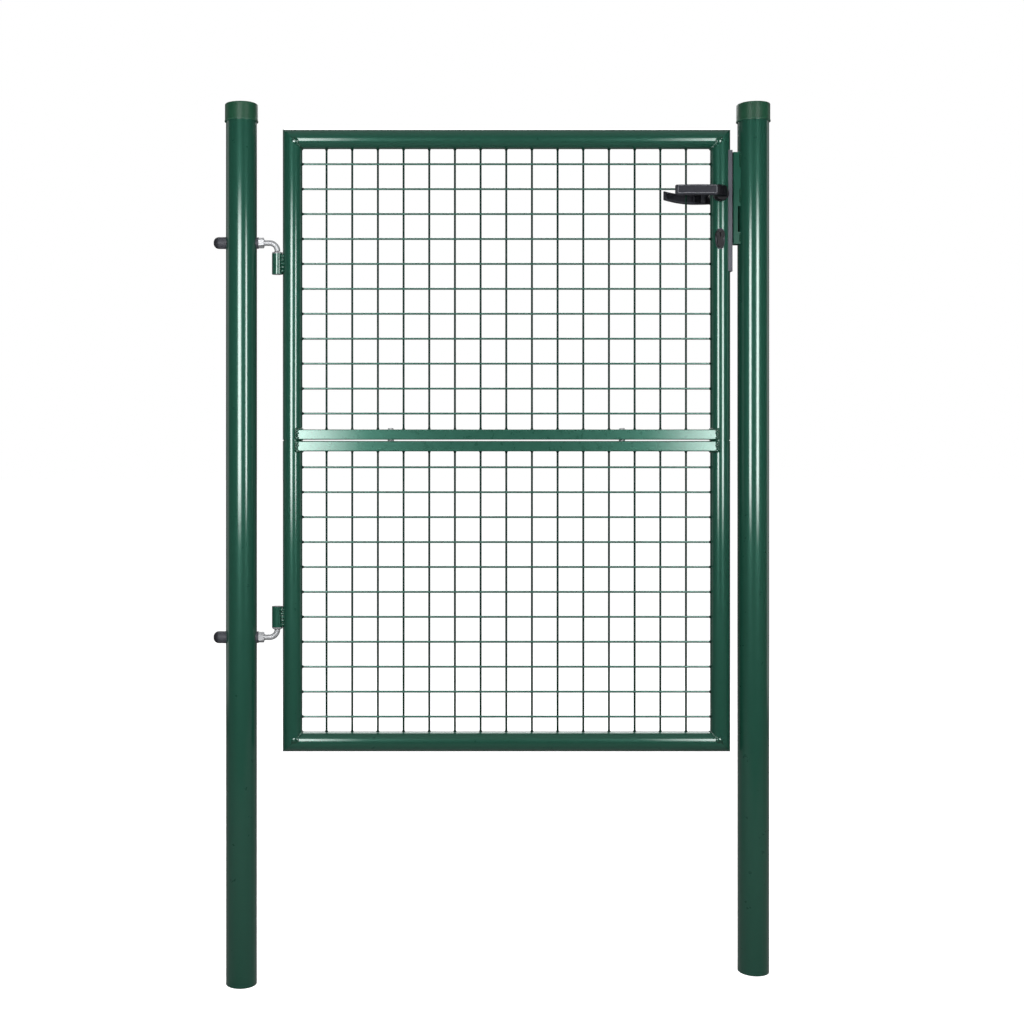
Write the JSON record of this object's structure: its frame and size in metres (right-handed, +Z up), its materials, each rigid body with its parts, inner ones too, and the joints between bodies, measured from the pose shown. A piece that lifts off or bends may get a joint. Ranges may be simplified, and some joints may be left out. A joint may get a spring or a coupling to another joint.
{
  "type": "garden gate",
  "caption": "Single garden gate: tubular steel leaf with welded wire mesh on hook hinges between round capped posts, with lever latch, key cylinder and keeper.",
  "frame": {"origin": "axis of the hinge post at its bottom end", "axes": "+X from the hinge post to the lock post, +Y away from the viewer towards the rear, +Z up"},
  "size_m": [1.0827, 0.1232, 1.71],
  "materials": {
    "green_powder_coat": "gloss",
    "green_cap_plastic": "satin",
    "black_plastic": "satin",
    "zinc_plated_steel": "satin",
    "pale_nylon": "satin",
    "dark_steel": "satin",
    "bright_steel": "ground",
    "nickel_brass": "satin"
  },
  "bodies": {
    "posts": {"hinge_post": "green_powder_coat", "lock_post": "green_powder_coat", "hinge_post_cap": "green_cap_plastic", "lock_post_cap": "green_cap_plastic", "upper_hinge_bolt": "zinc_plated_steel", "lower_hinge_bolt": "zinc_plated_steel", "hinge_inner_saddles": "black_plastic", "hinge_outer_saddles": "black_plastic", "hinge_inner_nuts": "zinc_plated_steel", "hinge_outer_nuts": "zinc_plated_steel", "hinge_nut_covers": "black_plastic", "strike_keeper": "green_powder_coat"},
    "leaf": {"top_rail": "green_powder_coat", "bottom_rail": "green_powder_coat", "upper_hinge_stile": "green_powder_coat", "lower_hinge_stile": "green_powder_coat", "upper_lock_stile": "green_powder_coat", "lower_lock_stile": "green_powder_coat", "hinge_stile_spigot": "green_powder_coat", "lock_stile_spigot": "green_powder_coat", "upper_mid_bar": "green_powder_coat", "lower_mid_bar": "green_powder_coat", "mid_joint_screws": "zinc_plated_steel", "mid_joint_spacers": "zinc_plated_steel", "mid_joint_rivet_nuts": "zinc_plated_steel", "upper_mesh_uprights": "green_powder_coat", "upper_mesh_crosswires": "green_powder_coat", "lower_mesh_uprights": "green_powder_coat", "lower_mesh_crosswires": "green_powder_coat", "upper_hinge_barrel": "green_powder_coat", "lower_hinge_barrel": "green_powder_coat", "upper_hinge_bush": "pale_nylon", "lower_hinge_bush": "pale_nylon", "lock_case": "zinc_plated_steel", "lock_cover": "zinc_plated_steel", "lock_faceplate": "dark_steel", "faceplate_screws": "zinc_plated_steel", "cylinder_body": "nickel_brass", "cylinder_screw": "zinc_plated_steel", "front_handle_rose": "black_plastic", "rear_handle_rose": "black_plastic"},
    "handle": {"front_lever": "black_plastic", "rear_lever": "black_plastic", "handle_spindle": "zinc_plated_steel", "lock_follower": "zinc_plated_steel", "lever_grub_screws": "zinc_plated_steel"},
    "latch": {"latch_bolt": "bright_steel", "latch_spring": "zinc_plated_steel"},
    "key_cylinder": {"cylinder_plugs": "nickel_brass", "cylinder_cam": "nickel_brass"},
    "deadbolt": {"deadbolt": "bright_steel"}
  },
  "joints": [
    {"name": "leaf_swing", "type": "hinge", "parent": "posts", "child": "leaf", "pos_m": [0.0699, 0, 0], "axis": [0, 0, 1], "range_deg": [-110, 110]},
    {"name": "handle_turn", "type": "hinge", "parent": "leaf", "child": "handle", "pos_m": [0.9275, 0, 1.53], "axis": [0, -1, 0], "range_deg": [0, 40], "stiffness_Nm_per_rad": 1.2, "springref_deg": -20.05},
    {"name": "latch_slide", "type": "slide", "parent": "leaf", "child": "latch", "axis": [1, 0, 0], "range_m": [-0.0112, 0], "deforming": ["latch_spring"]},
    {"name": "key_turn", "type": "hinge", "parent": "leaf", "child": "key_cylinder", "pos_m": [0.9275, 0, 1.454], "axis": [0, 1, 0], "range_deg": [0, 360]},
    {"name": "deadbolt_slide", "type": "slide", "parent": "leaf", "child": "deadbolt", "axis": [1, 0, 0], "range_m": [0, 0.012]}
  ],
  "couplings": [
    {"joint": "handle_turn", "follows": "latch_slide", "rad_per_m": -62.3},
    {"joint": "key_turn", "follows": "deadbolt_slide", "rad_per_m": 523.5}
  ]
}
